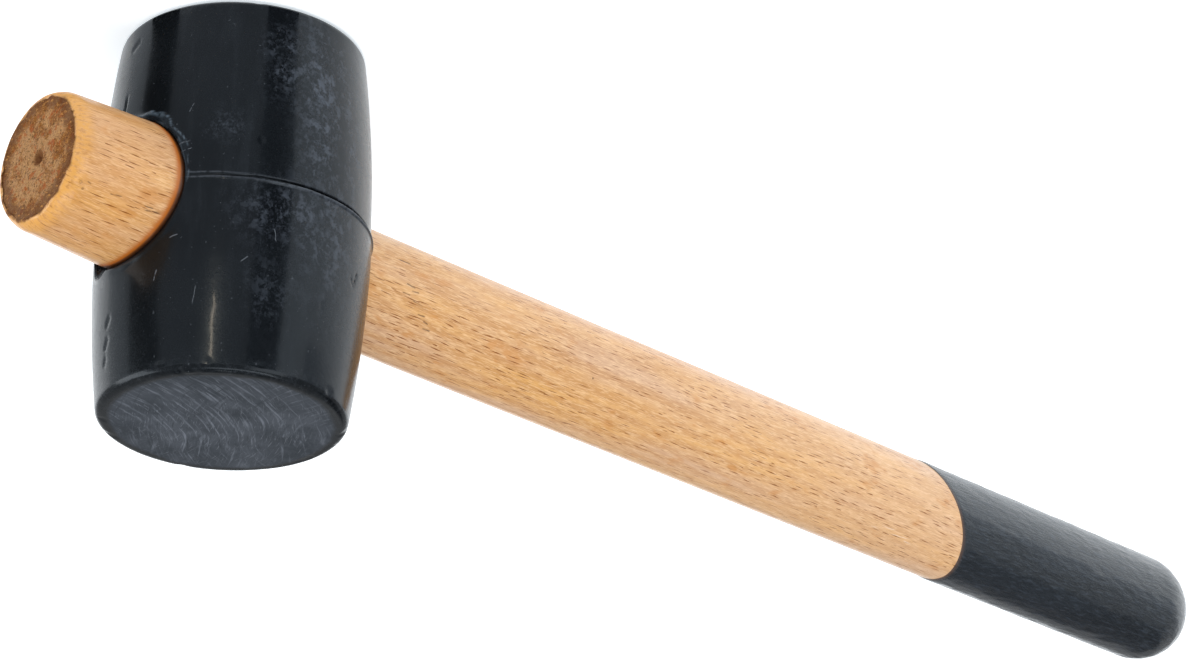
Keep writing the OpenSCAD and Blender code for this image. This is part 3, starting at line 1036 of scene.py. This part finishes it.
def add_camera():
    data = bpy.data.cameras.new("camera")
    data.lens = CAMERA_LENS
    camera = bpy.data.objects.new("camera", data)
    place = from_target(CAMERA_AZIMUTH, CAMERA_ELEVATION, CAMERA_DISTANCE)
    turn = (place - CAMERA_TARGET).to_track_quat("Z", "Y").to_matrix()
    turn = turn @ Matrix.Rotation(math.radians(CAMERA_ROLL), 3, "Z")
    camera.matrix_world = Matrix.Translation(place) @ turn.to_4x4()
    bpy.context.scene.collection.objects.link(camera)
    bpy.context.scene.camera = camera


def add_light(name, azimuth, elevation, distance, size, power):
    """A soft lamp that faces the mallet."""
    data = bpy.data.lights.new(name, "AREA")
    data.shape = "RECTANGLE"
    data.size, data.size_y = size
    data.energy = power
    lamp = bpy.data.objects.new(name, data)
    lamp.location = from_target(azimuth, elevation, distance)
    lamp.rotation_euler = (lamp.location - CAMERA_TARGET).to_track_quat("Z", "Y").to_euler()
    bpy.context.scene.collection.objects.link(lamp)


def add_floor():
    mesh = bpy.data.meshes.new("floor")
    sides = ((-1, -1), (1, -1), (1, 1), (-1, 1))
    corners = [(x * FLOOR_REACH, y * FLOOR_REACH, -FLOOR_DROP * MM) for x, y in sides]
    mesh.from_pydata(corners, [], [(0, 1, 2, 3)])
    floor = bpy.data.objects.new("floor", mesh)
    bpy.context.scene.collection.objects.link(floor)
    n = Nodes("light_table", Specular_IOR_Level=0.1,
              Emission_Color=(0.86, 0.94, 1, 1), Emission_Strength=0.60)
    tone = n.cloudy(n.stretched((300, 300, 300)), 2)
    mesh.materials.append(n.finish(n.mix(tone, (0.86, 0.86, 0.86), (0.88, 0.88, 0.88)), 0.6, 0.0))


def add_world():
    world = bpy.data.worlds.new("studio")
    world.use_nodes = True
    background = world.node_tree.nodes["Background"]
    background.inputs["Color"].default_value = (0.96, 0.98, 1, 1)
    background.inputs["Strength"].default_value = 0.42
    bpy.context.scene.world = world


def add_card(name, turns, reaches, glow, lift):
    """A flat card that only reflections see. It shows as an upright band on the head's side, between two
    turns from where that faces the camera, because its edges follow the rays that mirror off there."""
    mesh = bpy.data.meshes.new(name)
    band = np.linspace(*turns, CARD_POINTS)
    camera = from_target(CAMERA_AZIMUTH, CAMERA_ELEVATION, CAMERA_DISTANCE)
    facing = math.degrees(math.atan2(camera.x, -camera.y))
    normal, ray = np.radians(facing + band), np.radians(facing + 2 * band)
    starts = np.stack([np.sin(normal), -np.cos(normal), 0 * band], axis=1) * EDGE_RADIUS
    rays = np.stack([np.sin(ray), -np.cos(ray), 0 * band], axis=1)
    corners = np.concatenate([starts + rays * reach for reach in reaches]) * MM + [0, 0, lift * MM]
    near = np.arange(CARD_POINTS - 1)
    far = near + CARD_POINTS
    faces = np.stack([near, far, far + 1, near + 1], axis=1)
    mesh.from_pydata(corners.tolist(), [], faces.tolist())
    card = bpy.data.objects.new(name, mesh)
    bpy.context.scene.collection.objects.link(card)
    card.visible_camera = False
    card.visible_diffuse = False
    card.visible_shadow = False
    n = Nodes(name, Base_Color=(0, 0, 0, 1), Specular_IOR_Level=0,
              Emission_Color=(*glow, 1), Emission_Strength=1)
    mesh.materials.append(n.material)


add_floor()
add_world()
for lamp in LAMPS:
    add_light(*lamp)
for card in CARDS:
    add_card(*card)
add_camera()
bpy.context.scene.view_settings.view_transform = "Standard"
